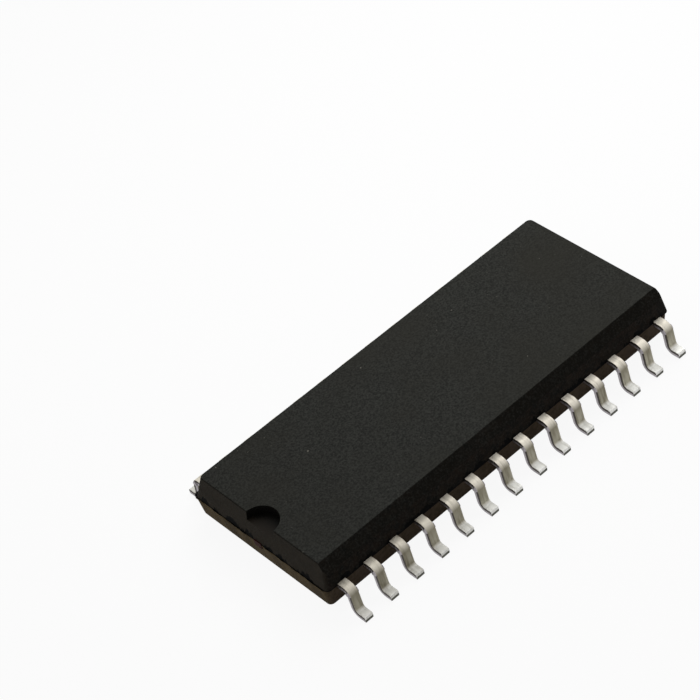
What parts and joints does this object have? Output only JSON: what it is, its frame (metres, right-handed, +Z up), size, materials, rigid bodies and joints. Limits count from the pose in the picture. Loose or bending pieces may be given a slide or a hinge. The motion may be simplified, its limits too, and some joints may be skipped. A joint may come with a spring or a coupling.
{
  "type": "small-outline chip package",
  "caption": "Flat black moulded chip with a notched end, one bevelled long edge and bright gull-wing leads along both long sides, for soldering to a circuit board",
  "frame": {"origin": "centre of the footprint, on the plane of the lead feet", "axes": "+X along the body from the notched pin-1 end, +Y from the pin-1 side across the body, +Z up from the board"},
  "size_m": [0.018, 0.01, 0.0023],
  "materials": {
    "mould_compound": "dark grey-black filled epoxy, fine spark-eroded mould texture",
    "tin_plated_lead": "matte tin plate over copper alloy, faint streaks along the bend",
    "copper_frame": "bare copper alloy, dulled where the tie bars are cut",
    "die_adhesive": "silver-filled epoxy, dull grey",
    "silicon": "polished blue-grey silicon",
    "gold_wire": "bright drawn gold"
  },
  "bodies": {
    "root": {"mould_body": "mould_compound", "die_paddle": "copper_frame", "die_attach": "die_adhesive", "silicon_die": "silicon", "bond_wires": "gold_wire", "lead_01": "tin_plated_lead", "lead_02": "tin_plated_lead", "lead_03": "tin_plated_lead", "lead_04": "tin_plated_lead", "lead_05": "tin_plated_lead", "lead_06": "tin_plated_lead", "lead_07": "tin_plated_lead", "lead_08": "tin_plated_lead", "lead_09": "tin_plated_lead", "lead_10": "tin_plated_lead", "lead_11": "tin_plated_lead", "lead_12": "tin_plated_lead", "lead_13": "tin_plated_lead", "lead_14": "tin_plated_lead", "lead_15": "tin_plated_lead", "lead_16": "tin_plated_lead", "lead_17": "tin_plated_lead", "lead_18": "tin_plated_lead", "lead_19": "tin_plated_lead", "lead_20": "tin_plated_lead", "lead_21": "tin_plated_lead", "lead_22": "tin_plated_lead", "lead_23": "tin_plated_lead", "lead_24": "tin_plated_lead", "lead_25": "tin_plated_lead", "lead_26": "tin_plated_lead", "lead_27": "tin_plated_lead", "lead_28": "tin_plated_lead"}
  },
  "joints": []
}
